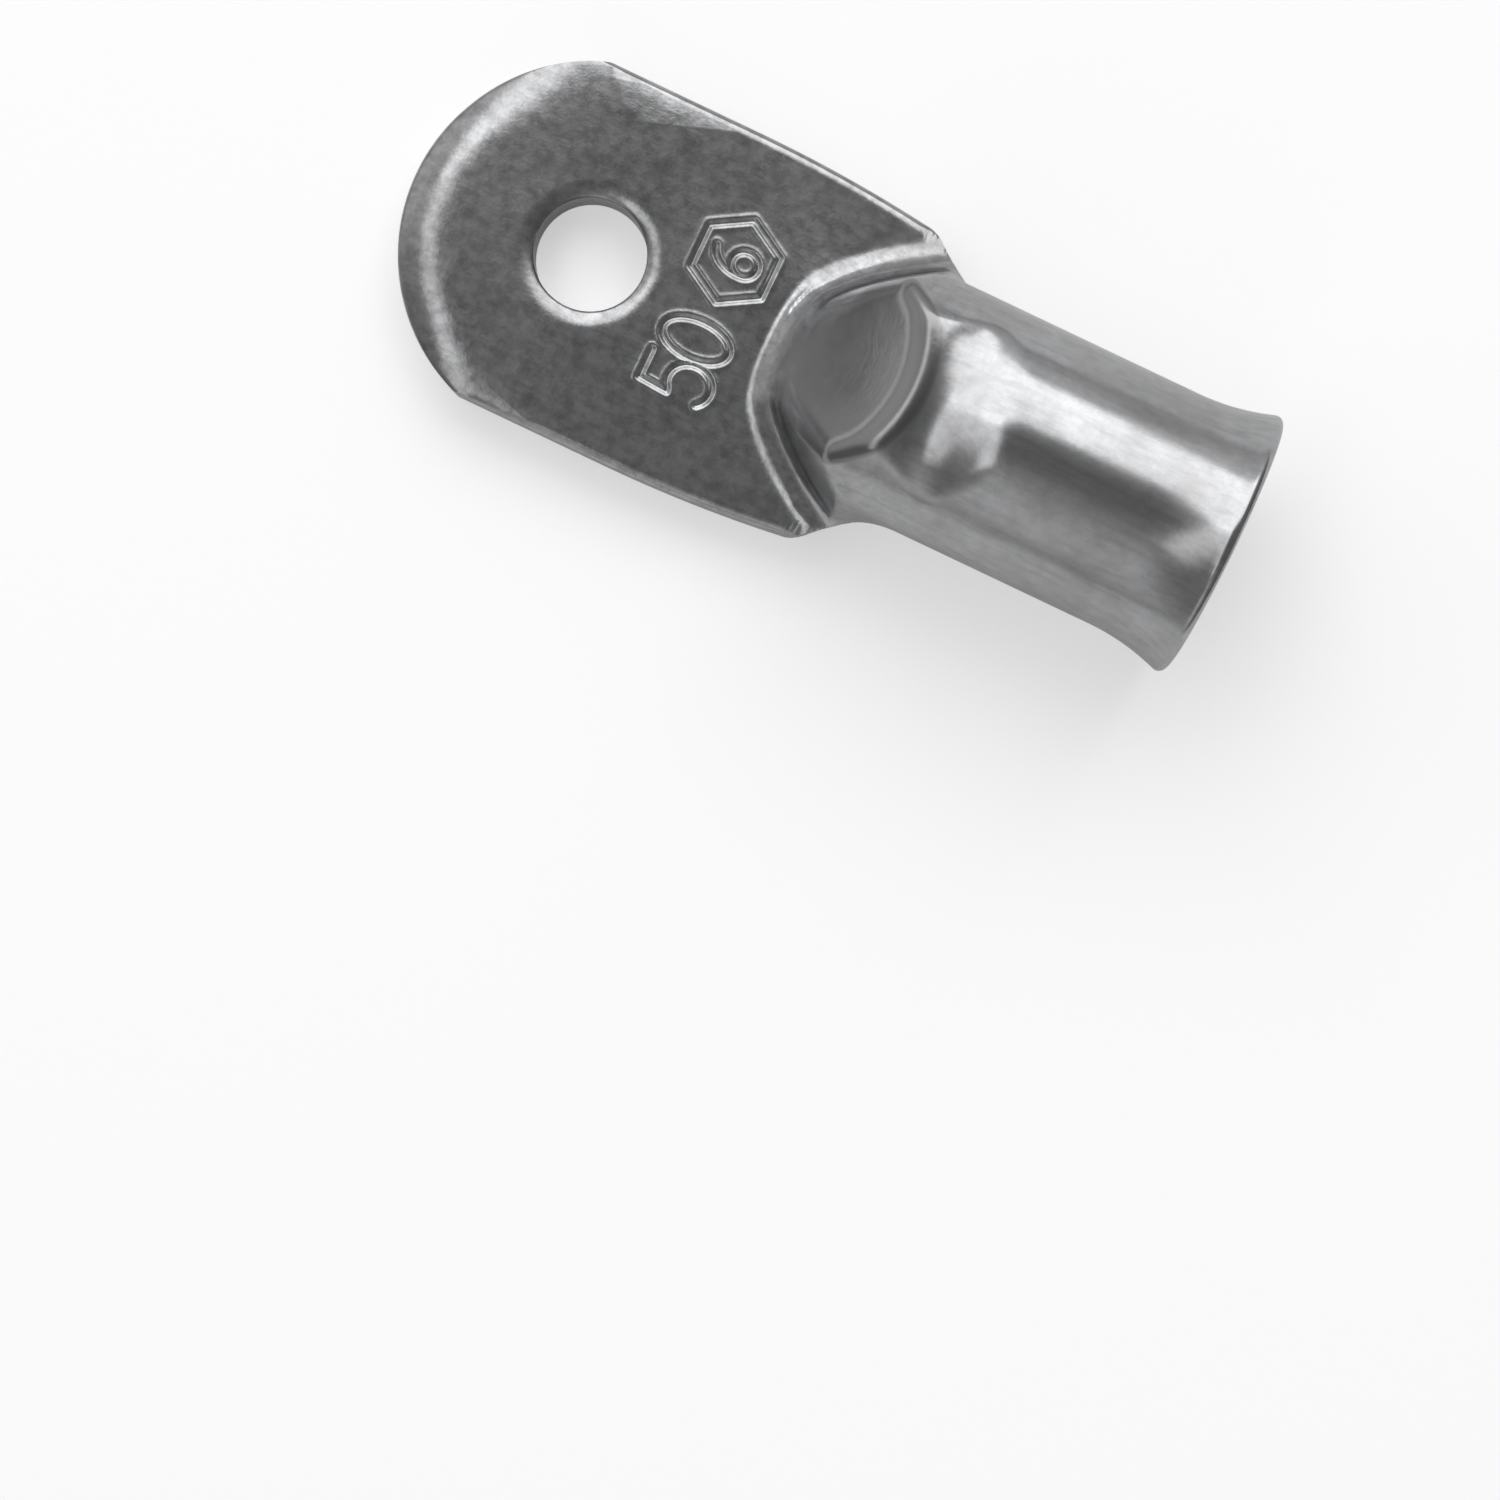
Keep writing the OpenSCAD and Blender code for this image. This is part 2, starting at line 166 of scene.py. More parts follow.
# How far a point lies outside the pressed tube between palm and barrel
def outsideOf(x, y, z):
    half = halfAt(x)
    y = np.abs(y)
    s = np.where(x < lug["neckX"] - 1, 0, roundAt(x))
    r = lug["foldR"] + (lug["barrelR"] - lug["foldR"]) * s
    base = (axisZ - lug["barrelR"]) * s
    a = y - half + r
    b = base + r - z
    trough = np.hypot(np.maximum(a, 0), np.maximum(b, 0)) + np.minimum(np.maximum(a, b), 0) - r
    drop = axisZ - lug["palmT"]
    lean = np.arccos(np.clip(lug["barrelR"] / np.hypot(half, drop), -1, 1)) - np.arctan2(drop, half)
    up = z - axisZ
    onTop = up * np.cos(lean) > y * np.sin(lean)
    flank = np.where(onTop, np.hypot(y, up), y * np.cos(lean) + up * np.sin(lean)) - lug["barrelR"]
    footLean = math.radians(lug["flankLean"])
    footWall = (footCurve * y * y - (x - footX)) * math.cos(footLean) / np.hypot(1, 2 * footCurve * y)
    footWall = footWall + (z - lug["palmT"]) * math.sin(footLean)
    bow = lug["rampBow"] * y * y
    ramp = (z - lug["palmT"]) * math.cos(rampSlope) - (x + bow - footX) * math.sin(rampSlope)
    rounding = ease((x - dipX + lug["riseStart"]) / lug["riseSpan"])
    curve = 1 / lug["dipCurve"] + (1 / lug["riseCurve"] - 1 / lug["dipCurve"]) * rounding
    lift = lug["dipLift"] * ease((dipX - x) / (lug["dipLength"] + bow))
    crown = z - dipZ + y * y * curve / 2 - lift
    crown = crown - (lug["dipDrop"] + lug["dipBlend"]) * straightStep((x - dipX) / lug["dipRise"])
    dome = softMax(softMax(flank, crown, lug["dipBlend"]), footWall, lug["flankR"])
    dome = filletMeet(dome, ramp, lug["ridgeR"])
    upper = filletJoin(z - lug["palmT"], dome, lug["footR"])
    fade = ease((x - lug["neckX"] + lug["creaseStart"]) / lug["creaseSpan"])
    edge = lug["creaseR"] * (1 - fade) + lug["creaseLeast"]
    return filletMeet(trough, upper, edge)


# How far the rays below reach, how often that is halved, and how far their aims stay off the sides
aim = {
    "reach": 4 * lug["palmHalf"],
    "halvings": 34,
    "middle": 0.05,
    "side": 0.04,
    "fold": 0.02,
    "crown": 0.85,
}


# Where rays from the middle (0, m) along (dy, dz) reach the depth given
def strike(x, m, dy, dz, depth):
    low = np.zeros_like(dy)
    high = np.full_like(dy, aim["reach"])
    for halving in range(aim["halvings"]):
        t = (low + high) / 2
        past = outsideOf(x, dy * t, m + dz * t) > -depth
        high = np.where(past, t, high)
        low = np.where(past, low, t)
    return dy * low, m + dz * low


# Points around half of the round tube, closest together on its upper side
columns = np.linspace(0, 1, lug["columns"] + 1)
ringTurns = np.radians(np.interp(columns, [0, 0.16, 0.3, 1], [0, 50, 90, 180]))

# How much each stretch of a section counts when its points are shared out
stretches = [0.2, 1.2, 0.6, 2.4, 1, 1.1, 1]


# Rough corners of a section from the middle of its base to its top, which the rays aim at
def roughCorners(x):
    side = float(halfAt(x))
    foot = min(max(math.sqrt(max(x - footX, 0) / footCurve), aim["middle"]), side - aim["side"])
    fold = max(side - lug["creaseR"], foot + aim["fold"])
    high = min(max(lug["palmT"] + (x - footX) * math.tan(rampSlope), lug["palmT"]), barrelTop)
    crown = math.sqrt(max(lug["barrelR"] ** 2 - max(high - axisZ, 0) ** 2, 1))
    ys = [0, side - lug["foldR"], side, side, fold, foot, min(foot * aim["crown"], crown), 0]
    zs = [0, 0, lug["foldR"], lug["palmT"] - lug["creaseR"], lug["palmT"], lug["palmT"], high, high]
    reach = np.cumsum([0] + list(np.hypot(np.diff(ys), np.diff(zs)) * stretches))
    return np.interp(columns, reach / reach[-1], ys), np.interp(columns, reach / reach[-1], zs)


# One ring of the outside at x, as half of its points from the bottom to the top
def outerRing(x):
    m = lug["palmT"] / 2 + (axisZ - lug["palmT"] / 2) * ease((x - footX) / (barrelX - footX))
    s = ease((x - lug["neckX"] + 1) / (barrelX - lug["neckX"] + 1))
    ys, zs = roughCorners(x)
    dy = ys * (1 - s) + lug["barrelR"] * np.sin(ringTurns) * s
    dz = zs * (1 - s) + (axisZ - lug["barrelR"] * np.cos(ringTurns)) * s - m
    far = np.hypot(dy, dz)
    return strike(np.full_like(dy, x), m, dy / far, dz / far, 0)


# One ring of the hollow behind the bore
def hollowRing(x):
    low = skin + (axisZ - lug["barrelR"]) * float(roundAt(x))
    high = lug["palmT"] - (skin - (x - footX) * math.sin(rampSlope)) / math.cos(rampSlope)
    top = min(high, dipZ - skin)
    side = min(math.sqrt((x - footX) / footCurve), lug["barrelR"]) - wall
    dy = side * np.sin(ringTurns)
    dz = -(top - low) / 2 * np.cos(ringTurns)
    far = np.hypot(dy, dz)
    return strike(np.full_like(dy, x), (low + top) / 2, dy / far, dz / far, skin)


def circleRing(r):
    return r * np.sin(ringTurns), axisZ - r * np.cos(ringTurns)


def spread(start, end, gap):
    return list(np.linspace(start, end, max(2, round(abs(end - start) / gap) + 1))[:-1])


# How closely the rings lie along the tube
ringPlan = {
    # From, to and gap for the palm, its stamped part, the ramp and the rise to the barrel
    "pressed": [(-13, 5.2, 0.6), (5.2, 11.4, 0.16), (11.4, 20.5, 0.1), (20.5, barrelX, 0.16)],
    "barrelGap": 0.8,
    "boreGap": 1.6,
    "flareSteps": 14,
    "lipRings": 10,
    "insideRings": 12,
    "tipGap": 0.4,       # from the hollow's last ring to where its roof would meet its floor
}


# The whole tube as rings: palm, ramp, barrel, bell, lip, and back in through the bore
def tubeRings():
    rings = []
    xs = [x for start, end, gap in ringPlan["pressed"] for x in spread(start, end, gap)]
    for x in xs + [barrelX]:
        rings.append((x, outerRing(x)))
    for x in spread(barrelX, flareX, ringPlan["barrelGap"])[1:]:
        rings.append((x, circleRing(lug["barrelR"])))
    lipMid = lug["flareR"] - lug["lipR"]
    touch = math.atan2(lipX - flareX, bellMid - lipMid)
    for a in spread(0, touch, touch / ringPlan["flareSteps"]):
        bellR = bellMid - lug["flareCurve"] * math.cos(a)
        rings.append((flareX + lug["flareCurve"] * math.sin(a), circleRing(bellR)))
    for a in np.linspace(math.pi / 2 + touch, 0, ringPlan["lipRings"]):
        rings.append((lipX + lug["lipR"] * math.cos(a), circleRing(lipMid + lug["lipR"] * math.sin(a))))
    inner = lug["flareCurve"] + wall
    deep = math.asin((lug["mouthX"] - lug["mouthIn"] - flareX) / inner)
    inside = bellMid - inner * math.cos(deep)
    for out, rise in lug["mouthBreak"]:
        rings.append((lug["mouthX"] - out, circleRing(inside + rise)))
    for b in np.linspace(deep, 0, ringPlan["insideRings"]):
        rings.append((flareX + inner * math.sin(b), circleRing(bellMid - inner * math.cos(b))))
    boreEnd = barrelX + 0.4
    for x in spread(flareX, boreEnd, ringPlan["boreGap"])[1:] + [boreEnd]:
        rings.append((x, circleRing(lug["boreR"])))
    tipX = footX + (skin - 0.9 * wall * math.cos(rampSlope)) / math.sin(rampSlope)
    hollowX = tipX + ringPlan["tipGap"]
    for x in spread(barrelX, hollowX, ringPlan["barrelGap"])[1:] + [hollowX]:
        rings.append((x, hollowRing(x)))
    return rings


def newPiece(name, bm):
    mesh = bpy.data.meshes.new(name)
    bm.to_mesh(mesh)
    bm.free()
    piece = bpy.data.objects.new(name, mesh)
    scene.collection.objects.link(piece)
    return piece


# A flat sheet is rolled up and pressed to the rings, and its seam is welded
def rollTube(name, rings):
    around = 2 * lug["columns"]
    bm = bmesh.new()
    bmesh.ops.create_grid(bm, x_segments=len(rings) - 1, y_segments=around, size=1)
    for v in bm.verts:
        i = round((v.co.x + 1) / 2 * (len(rings) - 1))
        j = round((v.co.y + 1) / 2 * around)
        x, (ys, zs) = rings[i]
        if j <= lug["columns"]:
            v.co = (x, ys[j], zs[j])
        else:
            v.co = (x, -ys[around - j], zs[around - j])
    bmesh.ops.remove_doubles(bm, verts=bm.verts[:], dist=1e-5)
    ends = bmesh.ops.holes_fill(bm, edges=[e for e in bm.edges if e.is_boundary], sides=0)["faces"]
    bmesh.ops.poke(bm, faces=ends)
    bmesh.ops.recalc_face_normals(bm, faces=bm.faces[:])
    return newPiece(name, bm)


# A closed outline of radius and height, swept about the stud hole, its ends drawn on along the tangents
def sweepOutline(name, outline, start, angle, steps, runOn=0):
    bm = bmesh.new()
    verts = [bm.verts.new((r, 0, z)) for r, z in outline]
    loop = [bm.edges.new((verts[i], verts[(i + 1) % len(verts)])) for i in range(len(verts))]
    bmesh.ops.rotate(bm, verts=verts, cent=(0, 0, 0), matrix=Matrix.Rotation(start, 3, "Z"))
    swept = bmesh.ops.spin(bm, geom=verts + loop, cent=(0, 0, 0), axis=(0, 0, 1), angle=angle,
                           steps=steps)
    last = [e for e in swept["geom_last"] if isinstance(e, bmesh.types.BMEdge)]
    if runOn:
        for edges, turn, way in ((loop, start, -1), (last, start + angle, 1)):
            drawn = bmesh.ops.extrude_edge_only(bm, edges=edges)["geom"]
            along = Vector((-math.sin(turn), math.cos(turn), 0)) * way * runOn
            moved = [v for v in drawn if isinstance(v, bmesh.types.BMVert)]
            bmesh.ops.translate(bm, verts=moved, vec=along)
    bmesh.ops.holes_fill(bm, edges=[e for e in bm.edges if e.is_boundary], sides=0)
    bmesh.ops.recalc_face_normals(bm, faces=bm.faces[:])
    return newPiece(name, bm)


# A line of radius and height from the axis to the axis, spun into a closed shape
def spinLine(name, line, steps):
    bm = bmesh.new()
    verts = [bm.verts.new((r, 0, z)) for r, z in line]
    edges = [bm.edges.new(pair) for pair in zip(verts, verts[1:])]
    bmesh.ops.spin(bm, geom=verts + edges, cent=(0, 0, 0), axis=(0, 0, 1), angle=math.tau, steps=steps,
                   use_merge=True)
    bmesh.ops.remove_doubles(bm, verts=bm.verts[:], dist=1e-5)
    bmesh.ops.recalc_face_normals(bm, faces=bm.faces[:])
    return newPiece(name, bm)


def arc(midR, midZ, radius, fromTurn, toTurn, count):
    return [(midR + radius * math.cos(math.radians(a)), midZ + radius * math.sin(math.radians(a)))
            for a in np.linspace(fromTurn, toTurn, count)]


# How the cutting shapes are drawn, in millimetres and steps about the stud hole
cutters = {
    "past": 2,           # how far they reach above and below the metal
    "beyond": 9,         # how far the nose's reaches out
    "runOn": 8,          # how far its ends run on along the long edges
    "noseSteps": 150,
    "grooveSteps": 90,
    "holeSteps": 128,
    "burr": 0.06,        # straight wall left under a rounded edge
    "weld": 1e-4,        # points closer together than this are one
    "sliver": 1e-5,
}


# What the shears take from the nose: a square cut with a drooping upper edge
def noseWaste():
    w, h, e, r = lug["droopW"], lug["droopH"], lug["edgeR"], lug["noseR"]
    low, high, far = -cutters["past"], lug["palmT"] + cutters["past"], r + cutters["beyond"]
    outline = [(r - e, low)] + arc(r - e, e, e, -90, 0, 5) + [(r, lug["palmT"] - h - cutters["burr"])]
    outline += [(r - w + w * t, lug["palmT"] - h * t ** 3) for t in np.linspace(0.985, 0, 18)]
    outline += [(r - w, high), (far, high), (far, low)]
    corner = math.acos(-math.sqrt(r ** 2 - lug["palmHalf"] ** 2) / r)
    turned = math.tau - 2 * corner
    waste = sweepOutline("noseWaste", outline, corner, turned, cutters["noseSteps"], cutters["runOn"])
    # The edge droops most at the tip, less towards both corners, and not at all past them
    for v in waste.data.vertices:
        if lug["palmT"] - h - 0.1 < v.co.z < lug["palmT"]:
            turn = abs(math.degrees(math.atan2(v.co.y, v.co.x)) % 360 - lug["droopMiddle"])
            faded = float(ease((turn - lug["droopFull"]) / lug["droopFade"]))
            share = lug["droopEnds"] + (1 - lug["droopEnds"]) * (1 - faded)
            share = share * (1 - float(ease((turn - lug["droopPast"]) / lug["droopGone"])))
            v.co.z = lug["palmT"] - (lug["palmT"] - v.co.z) * share
    return waste


# The line across the nose where the tube's walls were pressed together
def seamGroove():
    half = math.asin((lug["palmHalf"] - 1.6 * wall) / lug["noseR"])
    w, mid = lug["seamW"], lug["palmT"] / 2
    outline = [(lug["noseR"] - w, mid), (lug["noseR"] + w, mid - w), (lug["noseR"] + w, mid + w)]
    return sweepOutline("seamGroove", outline, math.pi - half, 2 * half, cutters["grooveSteps"])


# The punched stud hole, with a rolled upper rim and a slight break below
def studHole():
    r, w, h, e, t = lug["holeR"], lug["rimW"], lug["rimH"], lug["edgeR"], lug["palmT"]
    rollR = (w * w + h * h) / (2 * h)
    fall = math.degrees(math.asin(w / rollR))
    low, high = -cutters["past"], t + cutters["past"]
    line = [(0, low), (r + e, low)] + arc(r + e, e, e, -90, -180, 5) + [(r, t - h - cutters["burr"])]
    line += arc(r + w, t - rollR, rollR, 90 + fall - 1.5, 90, 12) + [(r + w, high), (0, high)]
    return spinLine("studHole", line, cutters["holeSteps"])


def cutAway(piece, shapes):
    for cutter in shapes:
        boolean = piece.modifiers.new(cutter.name, "BOOLEAN")
        boolean.operation = "DIFFERENCE"
        boolean.solver = "EXACT"
        boolean.object = cutter
    cut = bpy.data.meshes.new_from_object(piece.evaluated_get(bpy.context.evaluated_depsgraph_get()))
    piece.modifiers.clear()
    piece.data = cut
    for cutter in shapes:
        bpy.data.objects.remove(cutter)


# Plain figures for the cable and stud size, as strokes in a box one unit high
stamps = {
    "height": 4.3,
    "depth": 0.1,
    "stroke": 0.5,
    "lip": 0.025,
    "field": (4.6, 11.2, 7.4),   # from and to along X, and half the width, of the finer mesh
    "swell": 0.07,       # how far drawing the ramp up lifted the palm in front of it
    "swellAt": (12.6, 3.6),
    "swellSpread": (1.9, 2.4),
    "swellField": (7, 17, 6),
}


def bend(cx, cy, rx, ry, start, end, count=18):
    return [(cx + rx * math.cos(math.radians(a)), cy + ry * math.sin(math.radians(a)))
            for a in np.linspace(start, end, count)]


figures = {
    "5": [[(0.50, 1.0), (0.08, 1.0), (0.05, 0.57)] + bend(0.26, 0.32, 0.28, 0.32, 125, -140)],
    "0": [bend(0.28, 0.5, 0.27, 0.5, 0, 360, 36)],
    "6": [bend(0.52, 0.36, 0.50, 0.66, 100, 180) + bend(0.29, 0.29, 0.27, 0.29, 180, -180, 30)],
    "hexagon": [[(math.cos(math.radians(a)), math.sin(math.radians(a))) for a in range(0, 361, 60)]],
}

# Each stamp: figure, middle in millimetres and size
stampRow = [
    ("5", (7.9, -4.45), 1.0),
    ("0", (7.9, -1.95), 1.0),
    ("6", (8.0, 3.3), 0.66),
    ("hexagon", (8.0, 3.3), 0.62),
]


def stampStrokes():
    strokes = []
    for name, (x, y), size in stampRow:
        scale = stamps["height"] * size
        middle = (0, 0) if name == "hexagon" else (0.28, 0.5)
        for line in figures[name]:
            # The figures read across the lug: their top points to the nose
            strokes.append([(x - (v - middle[1]) * scale, y + (u - middle[0]) * scale) for u, v in line])
    return strokes


# Height that the stamping gives to the flat top: a groove with a raised lip beside it
def stampHeight(x, y):
    near = np.full(len(x), 9.0)
    for line in stampStrokes():
        for (ax, ay), (bx, by) in zip(line, line[1:]):
            ex, ey = bx - ax, by - ay
            t = np.clip(((x - ax) * ex + (y - ay) * ey) / (ex * ex + ey * ey), 0, 1)
            near = np.minimum(near, np.hypot(x - ax - t * ex, y - ay - t * ey))
    half = stamps["stroke"] / 2
    groove = -stamps["depth"] * (1 - ease(near / half))
    lip = stamps["lip"] * np.exp(-((near - half * 1.25) / (half * 0.55)) ** 2)
    return groove + lip


# Whether a point lies on the palm's top, within some height of it and within a field of the plan
def onPalm(point, reach, startX, endX, middleY, half):
    level = abs(point.z - lug["palmT"]) < reach
    return level and startX < point.x < endX and abs(point.y - middleY) < half


def stampPalm(piece):
    bm = bmesh.new()
    bm.from_mesh(piece.data)
    startX, endX, half = stamps["field"]
    field = [f for f in bm.faces if len(f.verts) == 4 and f.normal.z > 0.9
             and onPalm(f.calc_center_median(), 1e-3, startX, endX, 0, half)]
    edges = list({e for f in field for e in f.edges})
    bmesh.ops.subdivide_edges(bm, edges=edges, cuts=1, use_grid_fill=True)
    hit = [v for v in bm.verts if onPalm(v.co, 1e-3, startX, endX + 0.1, 0, half + 0.2)]
    rise = stampHeight(np.array([v.co.x for v in hit]), np.array([v.co.y for v in hit]))
    for v, h in zip(hit, rise):
        v.co.z += h
    (midX, midY), (wideX, wideY) = stamps["swellAt"], stamps["swellSpread"]
    startX, endX, half = stamps["swellField"]
    for v in bm.verts:
        if v.normal.z > 0.9 and onPalm(v.co, 0.2, startX, endX, midY, half):
            far = ((v.co.x - midX) / wideX) ** 2 + ((v.co.y - midY) / wideY) ** 2
            v.co.z += stamps["swell"] * math.exp(-far)
    bm.to_mesh(piece.data)
    bm.free()


# Smooth shading, broken only at real edges, and the mesh brought to metres
def finishPiece(piece, sharpTurn):
    bm = bmesh.new()
    bm.from_mesh(piece.data)
    # The cuts leave points a hair apart, with slivers between them
    bmesh.ops.remove_doubles(bm, verts=bm.verts[:], dist=cutters["weld"])
    bmesh.ops.dissolve_degenerate(bm, edges=bm.edges[:], dist=cutters["sliver"])
    bmesh.ops.scale(bm, verts=bm.verts[:], vec=(mm, mm, mm))
    for f in bm.faces:
        f.smooth = True
        f.material_index = 0
    for e in bm.edges:
        e.smooth = not (e.is_manifold and e.calc_face_angle(0) > sharpTurn)
    bm.to_mesh(piece.data)
    bm.free()


# The die's marks and the ridge's painted shade, in millimetres from the ramp's plane or above the palm
die = {
    "faceNear": 0.1,
    "faceFade": 0.5,
    "faceRise": 1.2,
    "ridgeShadeStart": 0.1,
    "ridgeShadeGrow": 0.4,
    "ridgeShadeEnd": 0.95,
    "ridgeShadeFade": 0.7,
    "ridgeShadeHeight": 4,
    "ridgeShadeRise": 2,
}


# Where the die pressed the ramp, 1, and where painted shade darkens the ridge at its upper end, 2, kept
# on the mesh for the finish
def markPressAndShade(piece):
    at = np.array([v.co for v in piece.data.vertices])
    x, y, z = at[:, 0], at[:, 1], at[:, 2]
    up = z - lug["palmT"]
    ramp = up * math.cos(rampSlope) - (x - footX + lug["rampBow"] * y * y) * math.sin(rampSlope)
    face = (1 - ease((np.abs(ramp) - die["faceNear"]) / die["faceFade"])) * ease(up / die["faceRise"])
    # Painted shade: a band just past the ramp's plane along the ridge's crest, high above the palm
    ridgeShade = ease((die["ridgeShadeStart"] - ramp) / die["ridgeShadeGrow"])
    ridgeShade = ridgeShade * (1 - ease((-ramp - die["ridgeShadeEnd"]) / die["ridgeShadeFade"]))
    ridgeShade = ridgeShade * ease((up - die["ridgeShadeHeight"]) / die["ridgeShadeRise"])
    # This mark carries painted shade: the ramp's tone where it is 1, and the ridge's darker shade up to
    # 2
    pressed = piece.data.attributes.new("pressed", "FLOAT", "POINT")
    pressed.data.foreach_set("value", (np.maximum(face, ridgeShade) + ridgeShade).astype(np.float32))


body = rollTube("lugBody", tubeRings())
print("stage: tube pressed,", len(body.data.polygons), "faces")
cutAway(body, [noseWaste(), seamGroove(), studHole()])
print("stage: nose and stud hole cut,", len(body.data.polygons), "faces")
stampPalm(body)
markPressAndShade(body)
finishPiece(body, math.radians(38))
print("stage: palm stamped,", len(body.data.polygons), "faces")


def newMaterial(name):
    material = bpy.data.materials.new(name)
    material.use_nodes = True
    nodes = material.node_tree.nodes
    return material, nodes, material.node_tree.links, nodes["Principled BSDF"]


# Bright tin plate, satin, with fine marks from drawing and handling, and painted shade on the ramp and
# its ridge
tin = {
    "bright": (0.58, 0.585, 0.595),
    "dull": (0.47, 0.47, 0.475),
    # The ramp's tone, painted to match the shade it reflects
    "pressed": (0.50, 0.50, 0.505),
    # Painted shade on the ridge's crest
    "ridgeShade": (0.31, 0.31, 0.315),
    "stain": (0.27, 0.27, 0.275),
    "roughness": 0.2,
    "duller": 0.06,      # how much rougher and smoother than that the tin's clouds are
    "glossier": 0.04,
    "grain": 0.3,
    "grainHeight": 0.00004,
    "barrelShare": 0.35, # how much of the grain and mottle the barrel has
    "pressedTo": 0.018,  # from here to there along X the tin turns from the palm's to the barrel's
    "roundFrom": 0.023,
    "mottle": 0.72,      # how strongly the tin's small patches differ in tone
    "drawn": 0.3,        # how strongly the drawing marks show
    "drawnHeight": 0.2,  # their height beside the patches'
    "wipedAndShaded": 0.85,       # how far the ramp is taken to its even tone, painted to match the shade it reflects
    "cloudScale": 160,
    "patchScale": 1250,
    "drawnScale": (220, 1900, 1900),
}


def noiseNode(nodes, links, vector, scale, detail, roughness=0.5):
    node = nodes.new("ShaderNodeTexNoise")
    node.inputs["Scale"].default_value = scale
    node.inputs["Detail"].default_value = detail
    node.inputs["Roughness"].default_value = roughness
    links.new(vector, node.inputs["Vector"])
    return node.outputs["Fac"]


def mapRange(nodes, links, value, low, high, toLow, toHigh):
    node = nodes.new("ShaderNodeMapRange")
    for name, number in (("From Min", low), ("From Max", high), ("To Min", toLow), ("To Max", toHigh)):
        node.inputs[name].default_value = number
    links.new(value, node.inputs["Value"])
    return node.outputs["Result"]


def mixColour(nodes, links, factor, a, b):
    node = nodes.new("ShaderNodeMix")
    node.data_type = "RGBA"
    links.new(factor, node.inputs["Factor"])
    for socket, colour in ((node.inputs["A"], a), (node.inputs["B"], b)):
        if isinstance(colour, tuple):
            socket.default_value = (*colour, 1)
        else:
            links.new(colour, socket)
    return node.outputs["Result"]


def tinPlate():
    material, nodes, links, shader = newMaterial("tinnedCopper")
    here = nodes.new("ShaderNodeTexCoord").outputs["Object"]
    cloud = noiseNode(nodes, links, here, tin["cloudScale"], 5, 0.6)
    patch = noiseNode(nodes, links, here, tin["patchScale"], 4, 0.7)
    # The tube was drawn along X, so its fine marks are long that way
    along = nodes.new("ShaderNodeMapping")
    along.inputs["Scale"].default_value = tin["drawnScale"]
    links.new(here, along.inputs["Vector"])
    drawn = noiseNode(nodes, links, along.outputs["Vector"], 1, 3, 0.6)
    clear = mapRange(nodes, links, cloud, 0.35, 0.62, 0, 1)
    tone = mixColour(nodes, links, clear, tin["dull"], tin["bright"])
    # The press left the flattened end blotchy, and the round barrel kept its even tin
    split = nodes.new("ShaderNodeSeparateXYZ")
    links.new(here, split.inputs[0])
    ends = tin["pressedTo"], tin["roundFrom"]
    flattened = mapRange(nodes, links, split.outputs["X"], *ends, 1, tin["barrelShare"])
    blotch = nodes.new("ShaderNodeMath")
    blotch.operation = "MULTIPLY"
    links.new(mapRange(nodes, links, patch, 0.4, 0.68, 0, tin["mottle"]), blotch.inputs[0])
    links.new(flattened, blotch.inputs[1])
    tone = mixColour(nodes, links, blotch.outputs[0], tone, tin["stain"])
    lined = mapRange(nodes, links, drawn, 0.45, 0.7, 0, tin["drawn"])
    tone = mixColour(nodes, links, lined, tone, tin["stain"])
    # The die wiped the drawing marks off the ramp, and its tone there is painted shade, set to what the
    # ramp reflects
    pressed = nodes.new("ShaderNodeAttribute")
    pressed.attribute_name = "pressed"
    wipedAndShaded = mapRange(nodes, links, pressed.outputs["Fac"], 0, 1, 0, tin["wipedAndShaded"])
    tone = mixColour(nodes, links, wipedAndShaded, tone, tin["pressed"])
    # Painted shade on the ridge's crest, where the mark runs from 1 to 2
    ridgeShade = mapRange(nodes, links, pressed.outputs["Fac"], 1, 2, 0, 1)
    tone = mixColour(nodes, links, ridgeShade, tone, tin["ridgeShade"])
    links.new(tone, shader.inputs["Base Color"])
    shader.inputs["Metallic"].default_value = 1
    rougher, smoother = tin["roughness"] + tin["duller"], tin["roughness"] - tin["glossier"]
    links.new(mapRange(nodes, links, cloud, 0.3, 0.7, rougher, smoother), shader.inputs["Roughness"])
    rough = nodes.new("ShaderNodeMath")
    rough.operation = "MULTIPLY_ADD"
    share = mapRange(nodes, links, pressed.outputs["Fac"], 0, 1, tin["drawnHeight"], 0)
    links.new(share, rough.inputs[1])
    links.new(drawn, rough.inputs[0])
    links.new(patch, rough.inputs[2])
    bump = nodes.new("ShaderNodeBump")
    links.new(mapRange(nodes, links, flattened, 0, 1, 0, tin["grain"]), bump.inputs["Strength"])
    bump.inputs["Distance"].default_value = tin["grainHeight"]
    links.new(rough.outputs[0], bump.inputs["Height"])
    links.new(bump.outputs["Normal"], shader.inputs["Normal"])
    return material


body.data.materials.clear()
body.data.materials.append(tinPlate())
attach(body, "root")
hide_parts("cable_lug")
print("stage: tin plate on")


